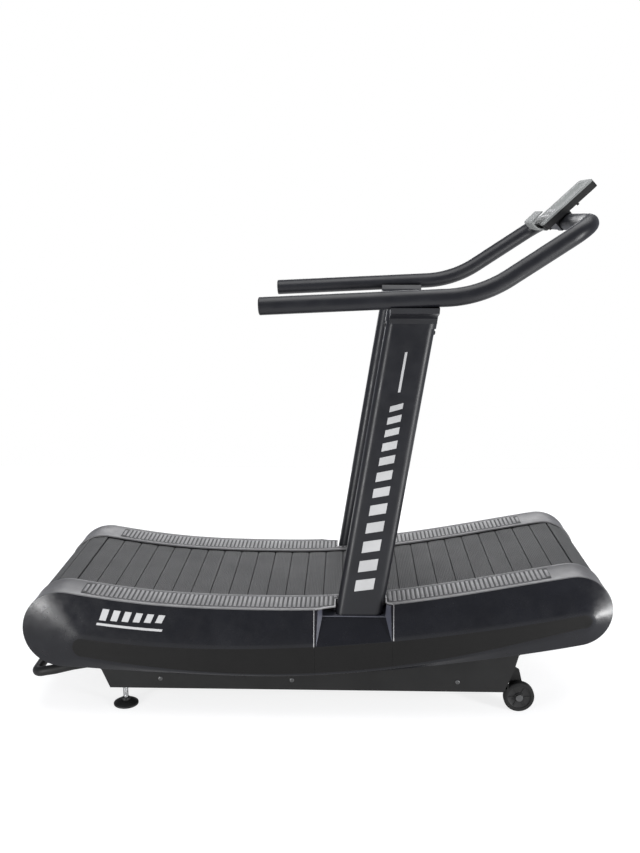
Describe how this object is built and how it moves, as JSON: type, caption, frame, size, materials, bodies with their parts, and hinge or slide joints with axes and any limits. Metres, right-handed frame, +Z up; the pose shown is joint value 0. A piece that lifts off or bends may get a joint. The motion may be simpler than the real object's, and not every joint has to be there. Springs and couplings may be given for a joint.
{
  "type": "curved manual treadmill",
  "caption": "Curved self-powered treadmill: slatted belt on a dished deck between ribbed foot rails, leaning uprights, one-piece handrail with tilted console, wheels and levelling feet.",
  "frame": {"origin": "bottom centre of the bounding box, on the floor under the middle of the deck", "axes": "+X towards the console end, +Y to the left of a runner facing the console, +Z up"},
  "size_m": [1.7895, 0.8328, 1.6258],
  "materials": {
    "paint": "satin charcoal powder coat",
    "cover": "satin moulded plastic, near black",
    "grey_trim": "satin mid grey with raised ribs",
    "slat_rubber": "ribbed rubber over metal slats",
    "black_plastic": "matt black",
    "bright_steel": "bright zinc plated",
    "alloy": "machined",
    "wheel_rubber": "matt black",
    "lens": "dark display window",
    "keys": "light grey rubber keys"
  },
  "bodies": {
    "frame": {"crossmember_rear": "paint", "crossmember_front": "paint", "crossmember_inner_1": "paint", "crossmember_inner_2": "paint", "rear_handle": "paint", "handrail": "paint", "console_bezel": "paint", "console_bracket": "paint", "side_frame_left": "paint", "side_frame_right": "paint", "upright_left": "paint", "upright_right": "paint", "upright_sleeve_left": "paint", "upright_sleeve_right": "paint", "cover_rear_left": "cover", "cover_rear_right": "cover", "cover_centre_left": "cover", "cover_centre_right": "cover", "cover_front_left": "cover", "cover_front_right": "cover", "foot_rail_left": "grey_trim", "foot_rail_right": "grey_trim", "upright_shroud_left": "grey_trim", "upright_shroud_right": "grey_trim", "end_guard_rear": "grey_trim", "end_guard_front": "grey_trim", "slat_belt": "slat_rubber", "bearing_block_front_left": "black_plastic", "bearing_block_front_right": "black_plastic", "bearing_block_rear_left": "black_plastic", "bearing_block_rear_right": "black_plastic", "handrail_plug_left": "black_plastic", "handrail_plug_right": "black_plastic", "console_back": "black_plastic", "phone_ledge": "black_plastic", "battery_cover": "black_plastic", "lock_nut_left": "bright_steel", "lock_nut_right": "bright_steel", "wheel_bolt_left": "bright_steel", "wheel_bolt_right": "bright_steel", "belt_track_left": "bright_steel", "belt_track_right": "bright_steel", "console_lens": "lens"},
    "rear_drum": {"drum_rear": "alloy"},
    "front_drum": {"drum_front": "alloy"},
    "roller_1_left": {"guide_roller_1_left": "black_plastic"},
    "roller_1_right": {"guide_roller_1_right": "black_plastic"},
    "roller_2_left": {"guide_roller_2_left": "black_plastic"},
    "roller_2_right": {"guide_roller_2_right": "black_plastic"},
    "wheel_left": {"transport_wheel_left": "wheel_rubber"},
    "wheel_right": {"transport_wheel_right": "wheel_rubber"},
    "foot_left": {"levelling_foot_left": "black_plastic"},
    "foot_right": {"levelling_foot_right": "black_plastic"},
    "key_1": {"console_key_1": "keys"},
    "key_2": {"console_key_2": "keys"},
    "key_3": {"console_key_3": "keys"},
    "key_4": {"console_key_4": "keys"},
    "key_5": {"console_key_5": "keys"},
    "key_6": {"console_key_6": "keys"}
  },
  "joints": [
    {"name": "rear_drum_spin", "type": "hinge", "parent": "frame", "child": "rear_drum", "pos_m": [-0.7755, 0, 0.279], "axis": [0, 1, 0], "continuous": true},
    {"name": "front_drum_spin", "type": "hinge", "parent": "frame", "child": "front_drum", "pos_m": [0.7848, 0, 0.354], "axis": [0, 1, 0], "continuous": true},
    {"name": "roller_1_left_spin", "type": "hinge", "parent": "frame", "child": "roller_1_left", "pos_m": [-0.25, 0.201, 0.31074], "axis": [0, 1, 0], "continuous": true},
    {"name": "roller_1_right_spin", "type": "hinge", "parent": "frame", "child": "roller_1_right", "pos_m": [-0.25, -0.201, 0.31074], "axis": [0, 1, 0], "continuous": true},
    {"name": "roller_2_left_spin", "type": "hinge", "parent": "frame", "child": "roller_2_left", "pos_m": [0.3, 0.201, 0.34046], "axis": [0, 1, 0], "continuous": true},
    {"name": "roller_2_right_spin", "type": "hinge", "parent": "frame", "child": "roller_2_right", "pos_m": [0.3, -0.201, 0.34046], "axis": [0, 1, 0], "continuous": true},
    {"name": "wheel_left_spin", "type": "hinge", "parent": "frame", "child": "wheel_left", "pos_m": [0.634, 0.282, 0.048], "axis": [0, 1, 0], "continuous": true},
    {"name": "wheel_right_spin", "type": "hinge", "parent": "frame", "child": "wheel_right", "pos_m": [0.634, -0.282, 0.048], "axis": [0, 1, 0], "continuous": true},
    {"name": "foot_left_level", "type": "slide", "parent": "frame", "child": "foot_left", "axis": [0, 0, 1], "range_m": [-0.012, 0.012]},
    {"name": "foot_right_level", "type": "slide", "parent": "frame", "child": "foot_right", "axis": [0, 0, 1], "range_m": [-0.012, 0.012]},
    {"name": "key_1_press", "type": "slide", "parent": "frame", "child": "key_1", "axis": [0.682, 0, -0.7314], "range_m": [0, 0.0013], "stiffness_N_per_m": 500},
    {"name": "key_2_press", "type": "slide", "parent": "frame", "child": "key_2", "axis": [0.682, 0, -0.7314], "range_m": [0, 0.0013], "stiffness_N_per_m": 500},
    {"name": "key_3_press", "type": "slide", "parent": "frame", "child": "key_3", "axis": [0.682, 0, -0.7314], "range_m": [0, 0.0013], "stiffness_N_per_m": 500},
    {"name": "key_4_press", "type": "slide", "parent": "frame", "child": "key_4", "axis": [0.682, 0, -0.7314], "range_m": [0, 0.0013], "stiffness_N_per_m": 500},
    {"name": "key_5_press", "type": "slide", "parent": "frame", "child": "key_5", "axis": [0.682, 0, -0.7314], "range_m": [0, 0.0013], "stiffness_N_per_m": 500},
    {"name": "key_6_press", "type": "slide", "parent": "frame", "child": "key_6", "axis": [0.682, 0, -0.7314], "range_m": [0, 0.0013], "stiffness_N_per_m": 500}
  ],
  "couplings": [
    {"joint": "front_drum_spin", "follows": "rear_drum_spin", "ratio": 1.1093},
    {"joint": "roller_1_left_spin", "follows": "rear_drum_spin", "ratio": 5.075},
    {"joint": "roller_1_right_spin", "follows": "rear_drum_spin", "ratio": 5.075},
    {"joint": "roller_2_left_spin", "follows": "rear_drum_spin", "ratio": 5.075},
    {"joint": "roller_2_right_spin", "follows": "rear_drum_spin", "ratio": 5.075}
  ]
}
